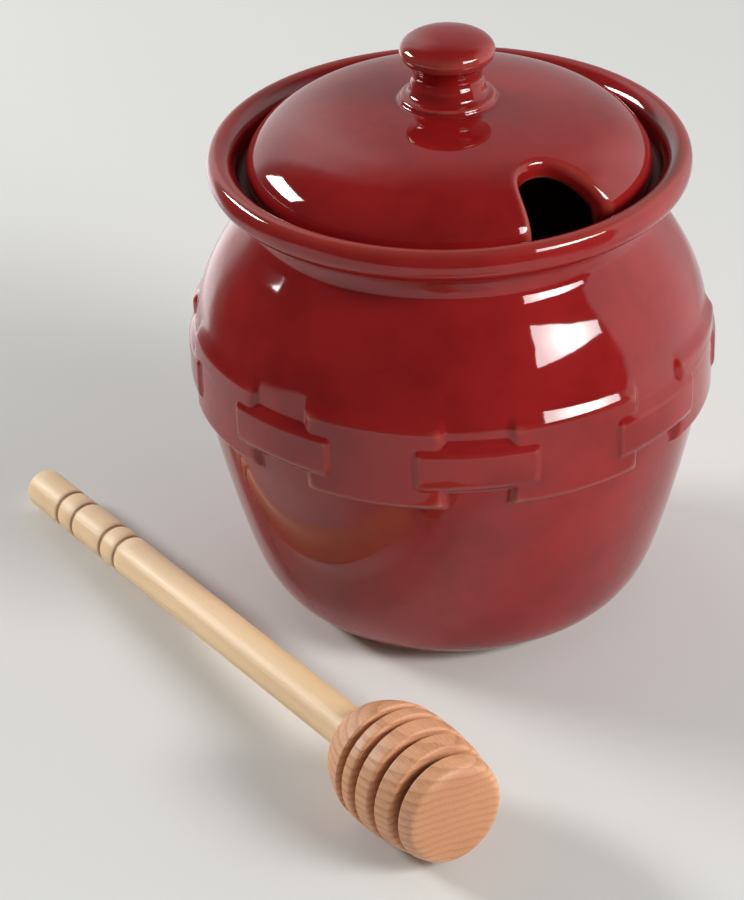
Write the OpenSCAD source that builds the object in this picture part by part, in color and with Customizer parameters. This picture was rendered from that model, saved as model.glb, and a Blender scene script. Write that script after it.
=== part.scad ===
// Stoneware honey pot with a loose lid, a basket-weave band and a wooden dipper.
// Millimetres, +Z up. The origin is the centre of the pot's foot, on the table.
// Angles are counted from the front (-Y), turning towards +X.

/* [Pot] */
// Outer radius of the foot ring on the table
foot_r = 34.1; // [30:0.1:38]
// Radius where the rounded foot runs into the wall
low_wall_r = 47.4; // [42:0.1:52]
// Height where the rounded foot runs into the wall
low_wall_z = 16.3; // [10:0.1:22]
// Greatest radius of the belly, without the weave
belly_r = 57.3; // [50:0.1:65]
// Height of the greatest radius
belly_z = 63; // [50:0.5:75]
// Radius of the neck under the rim, its narrowest place
neck_r = 43.7; // [38:0.1:50]
// Height of the narrowest place
neck_z = 97.5; // [90:0.5:105]
// Thickness of the wall
wall = 4.5; // [3:0.1:7]
// Thickness of the base
base = 6; // [4:0.1:9]
// Width of the foot ring
foot_w = 3.9; // [2:0.1:6]
// Depth of the hollow under the base
foot_recess = 1.8; // [0.5:0.1:4]

/* [Rim and gallery] */
// Radius of the middle of the rolled rim
roll_r = 48.4; // [45:0.1:55]
// Height of the middle of the rolled rim
roll_z = 106.65; // [100:0.05:115]
// Radius of the underside of the roll
roll_tube = 4.4; // [3:0.1:6]
// Radius of the gallery the lid drops into
gallery_r = 46.5; // [45.5:0.1:50]
// Height of the ledge the lid rests on
ledge_z = 102.9; // [98:0.1:106]
// Radius of the mouth inside the ledge
mouth_r = 39.8; // [30:0.1:43]

/* [Weave band] */
// Number of stakes round the pot, and of strands passing over the wall between them
weave_units = 8; // [6:1:12]
// Angle of the first stake from the front, degrees
stake_turn = 27.5; // [0:0.5:45]
// Width of a stake, degrees
stake_span = 18.3; // [12:0.1:24]
// Width of the short strands above and below a stake, degrees
short_span = 31; // [24:0.5:38]
// Width of the strand between two stakes, degrees
long_span = 27.5; // [22:0.5:34]
// Outer radius of a stake
stake_r = 58.15; // [57.5:0.05:60]
// Outer radius of the strand between two stakes
long_r = 58.8; // [57.5:0.05:61]
// Outer radius of the short strand above a stake
top_r = 58.1; // [57.5:0.05:61]
// Outer radius of the short strand below a stake
low_r = 58.4; // [57.5:0.05:61]
// Rounding of the long edges of a strand
strand_round = 0.9; // [0.3:0.1:1.2]
// How far the upper side of the outer strands leans back, degrees
strand_lean = 26; // [15:1:45]

/* [Lid] */
// Widest radius of the lid
lid_r = 44.2; // [40:0.1:46]
// Height of the top of the lid's upright side
lid_edge_z = 106; // [104:0.1:108]
// Radius of the brow, where the crown turns down into the side
brow_r = 42.6; // [40:0.1:43.5]
// Height of the brow
brow_z = 110.4; // [108:0.1:113]
// Height of the crown under the knob
crown_z = 120.8; // [115:0.1:125]
// Thickness of the lid
lid_wall = 4.5; // [3:0.1:7]
// Direction of the dipper notch from the front, degrees
notch_turn = 35; // [0:1:90]
// Distance of the notch's inner end from the middle of the lid
notch_end = 31.5; // [28:0.1:36]

/* [Knob] */
// Radius of the collar's bead
collar_r = 10.5; // [8:0.05:14]
// Greatest radius of the cap
knob_r = 10.35; // [8:0.05:14]
// Radius of the waist
waist_r = 7.4; // [5:0.1:9]
// Height of the waist
waist_z = 126.2; // [124:0.1:129]
// Height of the cap's widest place
cap_edge_z = 132; // [129:0.1:134]
// Height of the top
knob_top_z = 136.4; // [133:0.1:140]

/* [Dipper] */
// Radius of the handle
handle_r = 4.76; // [4:0.01:6]
// Length of the whole dipper
dipper_len = 177.2; // [150:0.1:200]
// Distance from the handle's end to the back of the head
head_back = 142.5; // [120:0.1:150]
// Greatest radius of the head
head_r = 13.65; // [10:0.05:18]
// Distance from the handle's end to the head's thickest place
head_thick_at = 157.5; // [145:0.1:165]
// Radius of the head's barrel curve
barrel_arc = 67; // [40:1:120]
// Radius of the wood at the bottom of a groove
groove_floor_r = 7.6; // [6.5:0.1:10]
// How deep the handle is glued into the head
tenon = 19; // [10:0.5:25]
// Where the handle's end lies, in X
lie_x = -99.8; // [-130:0.1:0]
// Where the handle's end lies, in Y
lie_y = 31.3; // [-60:0.1:60]
// Direction the head points, degrees from +X
lie_heading = -55.65; // [-90:0.05:0]

/* [Hidden] */
$fn = 96;
// the four grooves of the head: distances from the handle's end, front of one disc to back of the next
groove_edges = [[151.9, 153.7], [157, 158.9], [163.3, 165.3], [169.7, 172.2]];
// burned rings on the handle
ring_at = [15.3, 22.3, 35.9, 42.4];
ring_half = 0.75;
ring_depth = 0.35;
glue_gap = 0.05;
// the handle's end and the head's thickest place both touch the table
lie_pitch = asin((head_r - handle_r) / head_thick_at) + 0.05;

// point of a cubic curve with four control points
function bez(p, t) =
    pow(1 - t, 3) * p[0] + 3 * pow(1 - t, 2) * t * p[1] + 3 * (1 - t) * t * t * p[2] + pow(t, 3) * p[3];

// n + 1 points along a cubic curve, from part t0 of it to its end
function curve(p, n, t0 = 0) = [for (i = [0 : n]) bez(p, t0 + (1 - t0) * i / n)];

// the points of a list in the other order
function reverse(l) = [for (i = [len(l) - 1 : -1 : 0]) l[i]];

// n + 1 points of a round arc about c
function arc(c, r, a0, a1, n) =
    [for (i = [0 : n]) c + r * [cos(a0 + (a1 - a0) * i / n), sin(a0 + (a1 - a0) * i / n)]];

// the points of a list without its first one
function rest(l) = [for (i = [1 : len(l) - 1]) l[i]];

module spin(points, span = 360) {
    rotate_extrude(angle = span)
        polygon(points);
}

// body of the pot: outside up to the roll, over it, down the gallery and the inside
module pot_shell() {
    foot_curve = [[foot_r, 0.6], [foot_r + 5.9, 3.1], [low_wall_r - 3.6, 4.6], [low_wall_r, low_wall_z]];
    wall_curve = [[low_wall_r, low_wall_z], [low_wall_r + 4.5, low_wall_z + 14.5], [belly_r, belly_z - 8],
        [belly_r, belly_z]];
    neck_curve = [[belly_r, belly_z], [belly_r, belly_z + 22.7], [neck_r, neck_z - 4.6], [neck_r, neck_z]];
    flare_curve = [[neck_r, neck_z], [neck_r, neck_z + 2.2], [neck_r + 1.6, neck_z + 4.6],
        [neck_r + 2.7, neck_z + 5.4]];
    floor_z = foot_recess + base;
    in_neck_r = neck_r - wall;
    in_belly_r = belly_r - wall;
    in_low_r = low_wall_r - wall;
    in_neck_curve = [[in_neck_r, neck_z], [in_neck_r, neck_z - 4.6], [in_belly_r, belly_z + 22.7],
        [in_belly_r, belly_z]];
    in_wall_curve = [[in_belly_r, belly_z], [in_belly_r, belly_z - 8], [in_low_r + 4.5, low_wall_z + 15.5],
        [in_low_r, low_wall_z + 1]];
    in_foot_curve = [[in_low_r, low_wall_z + 1], [in_low_r - 2.2, floor_z + 2], [in_low_r - 9, floor_z],
        [in_low_r - 17, floor_z]];
    roll_c = [roll_r, roll_z];
    over_curve = [[roll_r + roll_tube, roll_z], [roll_r + roll_tube, roll_z + 4.65],
        [gallery_r + 2.1, roll_z + 4.55], [gallery_r + 0.1, roll_z]];
    spin(concat(
        [[0, foot_recess], [foot_r - foot_w - 0.8, foot_recess], [foot_r - foot_w, 0], [foot_r - 0.6, 0]],
        curve(foot_curve, 6),
        rest(curve(wall_curve, 9)),
        rest(curve(neck_curve, 12)),
        rest(curve(flare_curve, 3)),
        arc(roll_c, roll_tube, -115, 0, 10),
        rest(curve(over_curve, 10)),
        [[gallery_r, ledge_z + 0.8], [gallery_r - 0.8, ledge_z],
            [mouth_r + 0.7, ledge_z], [mouth_r, ledge_z - 0.7], [mouth_r, neck_z + 2]],
        curve(in_neck_curve, 10),
        rest(curve(in_wall_curve, 7)),
        rest(curve(in_foot_curve, 5)),
        [[0, floor_z]]
    ));
}

// one piece of the weave, centred on angle turn; its flat ends step down once, as if rounded,
// and its upper side leans back to the wall by angle lean
module strand(turn, span, z0, z1, outer_r, lean = 90) {
    root_r = 55.2;
    end_step = 0.9;
    for (k = [0, 1]) {
        w = span - 2 * k * end_step;
        r = outer_r - (1 - k) * 0.45;
        inset = (1 - k) * 0.25;
        b = strand_round;
        brow = [r - b + b * cos(lean), z1 - inset - b + b * sin(lean)];
        rotate([0, 0, turn - 90 - w / 2])
            spin(concat(
                [[root_r, z0 + inset]],
                arc([r - b, z0 + inset + b], b, -90, 0, 3),
                arc([r - b, z1 - inset - b], b, 0, lean, 3),
                [[root_r, brow[1] + (brow[0] - root_r) * cos(lean) / sin(lean)]]
            ), w);
    }
}

module weave() {
    step = 360 / weave_units;
    for (i = [0 : weave_units - 1]) {
        a = stake_turn + i * step;
        strand(a, stake_span, 55.9, 68, stake_r);
        strand(a, short_span, 67.3, 71.2, top_r, strand_lean);
        strand(a, short_span, 52, 56.5, low_r);
        strand(a + step / 2, long_span, 56.1, 66.2, long_r, strand_lean);
    }
}

module pot() {
    color([0.42, 0.07, 0.09])
        union() {
            pot_shell();
            weave();
        }
}

// domed lid with its knob, hollow underneath
module lid_shell() {
    bead = 1;
    bead_z = crown_z + 0.4;
    collar_from = 0.2122; // part of the crown's curve that the collar stands on
    crown_curve = [[0, crown_z], [16, crown_z], [34.5, crown_z], [brow_r, brow_z]];
    side_curve = [[brow_r, brow_z], [brow_r + 1.1, brow_z - 1.4], [lid_r, lid_edge_z + 2], [lid_r, lid_edge_z]];
    in_crown_curve = [[0, crown_z - lid_wall], [16, crown_z - lid_wall], [32.4, crown_z - lid_wall],
        [brow_r - 3.5, brow_z - 2.8]];
    in_side_curve = [[brow_r - 3.5, brow_z - 2.8], [brow_r - 2.9, brow_z - 3.6], [lid_r - 4.4, lid_edge_z],
        [lid_r - 4.4, lid_edge_z - 1]];
    collar_curve = [[collar_r - 1.1, bead_z + 1], [waist_r + 1.1, bead_z + 1.2], [waist_r + 0.7, bead_z + 2.2],
        [waist_r + 0.65, bead_z + 3.9]];
    bowl_curve = [[waist_r, waist_z], [waist_r, waist_z + 2.4], [knob_r - 1.4, cap_edge_z - 2.4],
        [knob_r - 0.35, cap_edge_z - 1.4]];
    cap_curve = [[knob_r, cap_edge_z], [knob_r, cap_edge_z + 2.5], [knob_r - 4.6, knob_top_z], [0, knob_top_z]];
    spin(concat(
        [[lid_r - 4, ledge_z + 0.1], [lid_r - 0.9, ledge_z + 0.1], [lid_r - 0.2, ledge_z + 0.5]],
        reverse(curve(side_curve, 5)),
        rest(reverse(curve(crown_curve, 12, collar_from))),
        arc([collar_r - bead, bead_z], bead, -20, 90, 5),
        curve(collar_curve, 5),
        [[waist_r + 0.15, bead_z + 4.3]],
        curve(bowl_curve, 6),
        curve(cap_curve, 8),
        curve(in_crown_curve, 10),
        rest(curve(in_side_curve, 3))
    ));
}

// plan of the dipper notch, open at the lid's edge, along +X; its two sides differ, as if cut by hand
module notch_plan() {
    deep = notch_end;
    edge = lid_r - 0.3;
    one_side = [[edge, -9.9], [edge - 3.4, -6.9], [deep, -9.2], [deep, -0.9]];
    other_side = [[deep, -0.9], [deep, 5.2], [edge - 5.7, 6.2], [edge, 12.2]];
    beyond = lid_r + 10;
    polygon(concat(
        [[beyond, -14], [lid_r + 1.5, -13]],
        curve(one_side, 10),
        rest(curve(other_side, 10)),
        [[lid_r + 1.5, 15], [beyond, 16]]
    ));
}

module lid() {
    cut_low = 100;
    cut_high = 20;
    color([0.45, 0.08, 0.10])
        difference() {
            lid_shell();
            translate([0, 0, cut_low])
                rotate([0, 0, notch_turn - 90])
                    linear_extrude(cut_high)
                        notch_plan();
        }
}

// puts a thing turned about +Z down on the table, where the dipper lies
module laid_down() {
    translate([lie_x, lie_y, handle_r])
        rotate([0, 0, lie_heading])
            rotate([0, 90 - lie_pitch, 0])
                children();
}

module dipper_handle() {
    end_round = 1.6;
    rings = [for (t = ring_at)
        each [[handle_r, t - ring_half], [handle_r - ring_depth, t - ring_half / 3],
            [handle_r - ring_depth, t + ring_half / 3], [handle_r, t + ring_half]]];
    color([0.90, 0.74, 0.50])
        laid_down()
            spin(concat(
                [[0, 0]],
                arc([handle_r - end_round, end_round], end_round, -90, 0, 4),
                rings,
                [[handle_r, head_back + tenon - 0.6], [handle_r - 0.6, head_back + tenon],
                    [0, head_back + tenon]]
            ));
}

// radius of the barrel-shaped head at distance t from the handle's end
function barrel(t) = head_r - barrel_arc + sqrt(pow(barrel_arc, 2) - pow(t - head_thick_at, 2));

// one groove: down from the disc behind it, along its floor, and up to the next disc
function groove(g) = [
    [barrel(g[0]) - 0.05, g[0] - 0.5], [barrel(g[0]) - 0.55, g[0]],
    [groove_floor_r, g[0] + 0.25], [groove_floor_r, g[1] - 0.25],
    [barrel(g[1]) - 0.55, g[1]], [barrel(g[1]) - 0.05, g[1] + 0.5]];

module dipper_head() {
    bore_r = handle_r + glue_gap;
    back_curve = [[8.6, head_back], [10.4, head_back + 0.4], [11.6, head_back + 3.4], [12.75, head_back + 6.6]];
    front_curve = [[barrel(174.4), 174.4], [barrel(175.6), 176], [9.9, 176.5], [8.6, 176.6]];
    dome_curve = [[8.6, 176.6], [6, 176.9], [3, dipper_len], [0, dipper_len]];
    color([0.73, 0.42, 0.26])
        laid_down()
            spin(concat(
                [[bore_r, head_back]],
                curve(back_curve, 5),
                [for (g = groove_edges) each groove(g)],
                curve(front_curve, 4),
                rest(curve(dome_curve, 3)),
                [[0, head_back + tenon + glue_gap], [bore_r, head_back + tenon + glue_gap]]
            ));
}

pot();
lid();
dipper_handle();
dipper_head();
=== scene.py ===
"""Dressed model of a stoneware honey pot with a woven band, its loose lid and a wooden dipper.

Sizes in the classes are millimetres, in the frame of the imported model; meshes are made in metres.
"""

import logging
import math
from collections.abc import Callable, Sequence
from dataclasses import dataclass, field
from enum import Enum

import bmesh
import bpy
import numpy as np
from mathutils import Matrix, Vector


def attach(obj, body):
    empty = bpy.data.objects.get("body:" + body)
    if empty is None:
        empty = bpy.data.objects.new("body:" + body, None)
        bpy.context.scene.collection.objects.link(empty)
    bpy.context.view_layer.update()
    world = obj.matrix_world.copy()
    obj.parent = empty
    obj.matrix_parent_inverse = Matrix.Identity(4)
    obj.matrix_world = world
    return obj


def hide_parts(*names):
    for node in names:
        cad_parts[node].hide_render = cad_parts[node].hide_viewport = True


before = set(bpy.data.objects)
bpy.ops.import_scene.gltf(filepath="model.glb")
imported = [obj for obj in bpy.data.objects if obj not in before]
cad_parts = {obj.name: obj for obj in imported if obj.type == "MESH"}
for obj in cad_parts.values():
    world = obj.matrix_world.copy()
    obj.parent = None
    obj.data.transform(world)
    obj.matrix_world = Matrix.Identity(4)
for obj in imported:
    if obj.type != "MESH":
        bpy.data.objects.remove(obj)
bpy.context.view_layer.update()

MM = 0.001
# Depth of the glaze's waves and of the wood's grain at full strength, in metres
GLAZE_DEPTH = 0.002
GRAIN_DEPTH = 0.0004
LOG = logging.getLogger("honey_pot")

Colour = tuple[float, float, float]
Socket = bpy.types.NodeSocket


class Piece(Enum):
    """The pieces of the model, named as the CAD nodes that they stand for."""

    POT = "pot"
    LID = "lid"
    HANDLE = "dipper_handle"
    HEAD = "dipper_head"


class Slot(Enum):
    """The record's material slots."""

    POT = "pot_glaze"
    LID = "lid_glaze"
    HANDLE = "pale_wood"
    HEAD = "red_wood"


class Body(Enum):
    """The rigid bodies that the pieces ride on."""

    POT = "pot"
    LID = "lid"
    DIPPER = "dipper"


# ---- curves -------------------------------------------------------------------------------------


def bezier(points: Sequence[Sequence[float]], count: int = 40) -> np.ndarray:
    """Points along a cubic curve.

    Args:
        points: Four control points (radius, height).
        count: Number of points.

    Returns:
        An array of count points.
    """
    p = np.asarray(points, float)
    t = np.linspace(0.0, 1.0, count)[:, None]
    s = 1.0 - t
    return s**3 * p[0] + 3 * s * s * t * p[1] + 3 * s * t * t * p[2] + t**3 * p[3]


def arc(centre: Sequence[float], radius: float, start: float, end: float, count: int = 30) -> np.ndarray:
    """Points along a round arc.

    Args:
        centre: Centre (radius, height).
        radius: Radius of the arc.
        start: First angle in degrees.
        end: Last angle in degrees.
        count: Number of points.

    Returns:
        An array of count points.
    """
    a = np.radians(np.linspace(start, end, count))
    return np.asarray(centre, float) + radius * np.stack([np.cos(a), np.sin(a)], 1)


def evenly(points: np.ndarray, step: float) -> np.ndarray:
    """The same line with points every step millimetres."""
    gaps = np.hypot(*np.diff(points, axis=0).T)
    keep = np.concatenate([[True], gaps > 1e-6])
    points, gaps = points[keep], gaps[keep[1:]]
    along = np.concatenate([[0.0], np.cumsum(gaps)])
    at = np.linspace(0.0, along[-1], max(2, round(along[-1] / step) + 1))
    return np.stack([np.interp(at, along, points[:, k]) for k in (0, 1)], 1)


def softened(points: np.ndarray, blur: float, step: float = 0.1) -> np.ndarray:
    """The line with its corners rounded as glaze or sanding rounds them; its ends stay.

    Args:
        points: The line.
        blur: Width of the rounding.
        step: Distance between the points of the result.

    Returns:
        The rounded line, with points every step.
    """
    line = evenly(points, step)
    reach = int(3 * blur / step)
    weight = np.exp(-0.5 * (np.arange(-reach, reach + 1) * step / blur) ** 2)
    weight /= weight.sum()
    # each end is carried on by its own mirror image, so that it stays where it is
    before = 2 * line[0] - line[reach:0:-1]
    after = 2 * line[-1] - line[-2 : -reach - 2 : -1]
    long = np.concatenate([before, line, after])
    return np.stack([np.convolve(long[:, k], weight, "valid") for k in (0, 1)], 1)


def thinned(line: np.ndarray, turn: float, longest: Callable[[np.ndarray], float]) -> np.ndarray:
    """The fewest points of a fine line that keep its shape.

    Args:
        line: Closely spaced points.
        turn: Largest change of direction between kept points, in degrees.
        longest: Gives the greatest spacing at a point.

    Returns:
        The kept points, with the first and the last.
    """
    steps = np.diff(line, axis=0)
    size = np.hypot(*steps.T)
    heading = np.unwrap(np.arctan2(steps[:, 1], steps[:, 0]))
    kept, run, last = [0], 0.0, heading[0]
    for i in range(1, len(line) - 1):
        run += size[i - 1]
        if abs(heading[i] - last) > math.radians(turn) or run > longest(line[i]):
            kept.append(i)
            run, last = 0.0, heading[i]
    return line[kept + [len(line) - 1]]


# ---- meshes -------------------------------------------------------------------------------------


def new_object(name: str, verts: np.ndarray, faces: Sequence[Sequence[int]]) -> bpy.types.Object:
    """A smooth-shaded mesh object at the origin.

    Args:
        name: Name of the object and its mesh.
        verts: Points in metres.
        faces: Corner indices of each face.

    Returns:
        The object, in the scene.
    """
    mesh = bpy.data.meshes.new(name)
    mesh.from_pydata(verts.tolist(), [], faces)
    mesh.validate()
    mesh.shade_smooth()
    made = bpy.data.objects.new(name, mesh)
    bpy.context.scene.collection.objects.link(made)
    return made


def turned(name: str, line: np.ndarray, angles: np.ndarray) -> bpy.types.Object:
    """A solid turned about +Z from a line that starts and ends on the axis.

    Args:
        name: Name of the object.
        line: Points (radius, height), outside first from the bottom.
        angles: Angles of the columns in radians, rising, from the front (-Y) towards +X.

    Returns:
        The object.
    """
    count, rows = len(angles), len(line) - 2
    ring = np.stack([np.sin(angles), -np.cos(angles)], 1)
    body = np.empty((rows, count, 3))
    body[:, :, :2] = line[1:-1, 0][:, None, None] * ring[None]
    body[:, :, 2] = line[1:-1, 1][:, None]
    ends = np.array([[0, 0, line[0, 1]], [0, 0, line[-1, 1]]])
    verts = np.concatenate([body.reshape(-1, 3), ends]) * MM
    low, high = rows * count, rows * count + 1
    faces = []
    for i in range(rows - 1):
        for j in range(count):
            k = (j + 1) % count
            faces.append((i * count + j, i * count + k, (i + 1) * count + k, (i + 1) * count + j))
    top = (rows - 1) * count
    for j in range(count):
        k = (j + 1) % count
        faces.append((low, k, j))
        faces.append((high, top + j, top + k))
    return new_object(name, verts, faces)


def points_of(mesh: bpy.types.Mesh) -> np.ndarray:
    """The mesh's points in millimetres."""
    flat = np.empty(len(mesh.vertices) * 3)
    mesh.vertices.foreach_get("co", flat)
    return flat.reshape(-1, 3) / MM


def put_points(mesh: bpy.types.Mesh, points: np.ndarray) -> None:
    """Moves the mesh's points.

    Args:
        mesh: The mesh.
        points: New places in millimetres.
    """
    mesh.vertices.foreach_set("co", (points * MM).ravel())
    mesh.update()


def edges_of(mesh: bpy.types.Mesh) -> np.ndarray:
    """The mesh's edges as pairs of point indices."""
    flat = np.empty(len(mesh.edges) * 2, np.int32)
    mesh.edges.foreach_get("vertices", flat)
    return flat.reshape(-1, 2)


def put_value(mesh: bpy.types.Mesh, name: str, values: np.ndarray) -> None:
    """Stores one number per point as a named attribute.

    Args:
        mesh: The mesh.
        name: Name of the attribute.
        values: One number per point.
    """
    kept = mesh.attributes.get(name) or mesh.attributes.new(name, "FLOAT", "POINT")
    kept.data.foreach_set("value", values.astype(np.float32))


def store_crest(mesh: bpy.types.Mesh, passes: int = 3) -> None:
    """Stores how sharply the surface bends, for glaze that thins on edges and pools in corners.

    Args:
        mesh: The mesh; the attribute "crest" is in 1/mm, above 0 where the surface bulges.
        passes: How often the value is evened out with its neighbours.
    """
    flat = np.empty(len(mesh.vertices) * 3)
    mesh.vertices.foreach_get("normal", flat)
    normal, place, pair = flat.reshape(-1, 3), points_of(mesh), edges_of(mesh)
    a, b = pair.T
    gap = place[b] - place[a]
    bend = ((normal[b] - normal[a]) * gap).sum(1) / np.maximum((gap**2).sum(1), 1e-9)
    count = np.bincount(pair.ravel(), minlength=len(place))
    total = np.bincount(a, bend, len(place)) + np.bincount(b, bend, len(place))
    crest = total / np.maximum(count, 1)
    for _ in range(passes):
        total = np.bincount(a, crest[b], len(place)) + np.bincount(b, crest[a], len(place))
        crest = 0.5 * crest + 0.5 * total / np.maximum(count, 1)
    put_value(mesh, "crest", crest)


def baked(made: bpy.types.Object) -> bpy.types.Object:
    """The object with its modifiers turned into a plain mesh and removed."""
    mesh = bpy.data.meshes.new_from_object(made.evaluated_get(bpy.context.evaluated_depsgraph_get()))
    mesh.name = made.name
    made.modifiers.clear()
    old, made.data = made.data, mesh
    bpy.data.meshes.remove(old)
    return made


# ---- node trees ---------------------------------------------------------------------------------


class Wiring:
    """Adds nodes to one tree and joins them."""

    def __init__(self, tree: bpy.types.NodeTree) -> None:
        """Keeps the tree that the nodes go into."""
        self.tree = tree

    def feed(self, socket: Socket, value: object) -> None:
        """Joins a socket to an input, or sets the input to a plain value."""
        if isinstance(value, bpy.types.NodeSocket):
            self.tree.links.new(value, socket)
        elif isinstance(value, tuple) and socket.type == "RGBA" and len(value) == 3:
            socket.default_value = (*value, 1.0)
        else:
            socket.default_value = value

    def add(self, kind: str, inputs: dict | None = None, **settings: object) -> bpy.types.Node:
        """Adds one node.

        Args:
            kind: Its Blender type.
            inputs: Values or sockets by input name or number.
            **settings: Properties of the node.

        Returns:
            The node.
        """
        node = self.tree.nodes.new(kind)
        for key, value in settings.items():
            setattr(node, key, value)
        for key, value in (inputs or {}).items():
            self.feed(node.inputs[key], value)
        return node

    def math(self, operation: str, *values: object, clamp: bool = False) -> Socket:
        """Adds a Math node and returns its result."""
        node = self.add("ShaderNodeMath", operation=operation, use_clamp=clamp)
        for socket, value in zip(node.inputs, values):
            self.feed(socket, value)
        return node.outputs[0]

    def remap(
        self, value: Socket, low: object, high: object, to_low: float = 0.0, to_high: float = 1.0
    ) -> Socket:
        """Turns a value between low and high smoothly into one between two others."""
        node = self.add(
            "ShaderNodeMapRange",
            {0: value, 1: low, 2: high, 3: to_low, 4: to_high},
            interpolation_type="SMOOTHSTEP",
        )
        return node.outputs[0]

    def blend(self, share: object, first: object, second: object, how: str = "MIX") -> Socket:
        """Mixes two colours and returns the result."""
        node = self.add("ShaderNodeMix", data_type="RGBA", blend_type=how)
        for number, value in ((0, share), (6, first), (7, second)):
            self.feed(node.inputs[number], value)
        return node.outputs[2]

    def noise(self, place: Socket, scale: object, detail: float = 3.0, rough: float = 0.55) -> Socket:
        """Adds a Noise Texture and returns its value."""
        inputs = {"Vector": place, "Scale": scale, "Detail": detail, "Roughness": rough}
        return self.add("ShaderNodeTexNoise", inputs).outputs["Fac"]

    def stretched(self, place: Socket, scale: tuple[float, float, float]) -> Socket:
        """The place multiplied by a different number along each axis."""
        node = self.add("ShaderNodeVectorMath", {0: place, 1: scale}, operation="MULTIPLY")
        return node.outputs[0]


@dataclass
class Port:
    """One input or output of a node group."""

    name: str
    kind: str = "Float"
    value: object = None


def new_group(
    name: str, kind: str, inputs: list[Port], outputs: list[Port]
) -> tuple[Wiring, dict[str, Socket], bpy.types.Node]:
    """Makes an empty node group with its ports.

    Args:
        name: Name of the group.
        kind: Tree type.
        inputs: Its inputs.
        outputs: Its outputs.

    Returns:
        The wiring, the inputs by name, and the group's output node.
    """
    tree = bpy.data.node_groups.new(name, kind)
    for side, ports in (("INPUT", inputs), ("OUTPUT", outputs)):
        for port in ports:
            item = tree.interface.new_socket(port.name, in_out=side, socket_type=f"NodeSocket{port.kind}")
            if port.value is not None:
                item.default_value = port.value
    wiring = Wiring(tree)
    entry, leave = wiring.add("NodeGroupInput"), wiring.add("NodeGroupOutput")
    return wiring, {port.name: entry.outputs[port.name] for port in inputs}, leave


def new_material(name: str) -> tuple[Wiring, bpy.types.Node]:
    """Makes a material with one Principled BSDF.

    Args:
        name: Name of the material.

    Returns:
        The wiring and the Principled node.
    """
    material = bpy.data.materials.new(name)
    material.use_nodes = True
    material.node_tree.nodes.clear()
    wiring = Wiring(material.node_tree)
    shader = wiring.add("ShaderNodeBsdfPrincipled")
    wiring.add("ShaderNodeOutputMaterial", {"Surface": shader.outputs[0]})
    return wiring, shader


# ---- shared effects -----------------------------------------------------------------------------


def fired_glaze_group() -> bpy.types.NodeTree:
    """Coloured glaze over clay: paler where it runs thin on an edge, deeper where it pools.

    Returns:
        The group; it puts out Colour, Roughness and Height.
    """
    ports = [
        Port("Place", "Vector"),
        Port("Crest"),
        Port("Bare"),
        Port("Matt"),
        Port("Body", "Color"),
        Port("Deep", "Color"),
        Port("Thin", "Color"),
        Port("Clay", "Color"),
        Port("Thin From", value=0.06),
        Port("Thin To", value=0.4),
        Port("Shine", value=0.1),
    ]
    w, port, leave = new_group(
        "fired_glaze", "ShaderNodeTree", ports, [Port("Colour", "Color"), Port("Roughness"), Port("Height")]
    )
    cloud = w.noise(port["Place"], 38.0, 4.0, 0.6)
    grit = w.noise(port["Place"], 520.0, 2.0)
    swell = w.noise(port["Place"], 95.0, 2.0, 0.4)
    # the edge of the thin glaze wanders a little
    wander = w.math("MULTIPLY_ADD", w.math("SUBTRACT", cloud, 0.5), 0.10, port["Crest"])
    thin = w.remap(wander, port["Thin From"], port["Thin To"])
    pooled = w.remap(port["Crest"], -0.02, -0.30)
    tint = w.blend(w.remap(cloud, 0.35, 0.68), port["Body"], port["Deep"])
    tint = w.blend(w.math("MULTIPLY", pooled, 0.7), tint, port["Deep"])
    tint = w.blend(w.math("MULTIPLY", thin, 0.6), tint, port["Thin"])
    speck = w.math("MULTIPLY", w.remap(grit, 0.70, 0.78), 0.25)
    tint = w.blend(speck, tint, port["Deep"])
    clay = w.blend(w.remap(grit, 0.3, 0.7), port["Clay"], (0.42, 0.34, 0.26))
    bare = w.remap(w.math("MULTIPLY_ADD", w.math("SUBTRACT", cloud, 0.5), 0.5, port["Bare"]), 0.4, 0.6)
    w.feed(leave.inputs["Colour"], w.blend(bare, tint, clay))
    glossy = w.math("MULTIPLY_ADD", w.math("SUBTRACT", cloud, 0.5), 0.05, port["Shine"])
    rough = w.math("MULTIPLY_ADD", bare, 0.65, w.math("MULTIPLY_ADD", thin, 0.03, glossy))
    w.feed(leave.inputs["Roughness"], w.math("MULTIPLY_ADD", port["Matt"], 0.5, rough))
    fine = w.math("MULTIPLY", w.math("MULTIPLY_ADD", bare, 0.5, 0.02), grit)
    w.feed(leave.inputs["Height"], w.math("ADD", swell, fine))
    return w.tree


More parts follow.
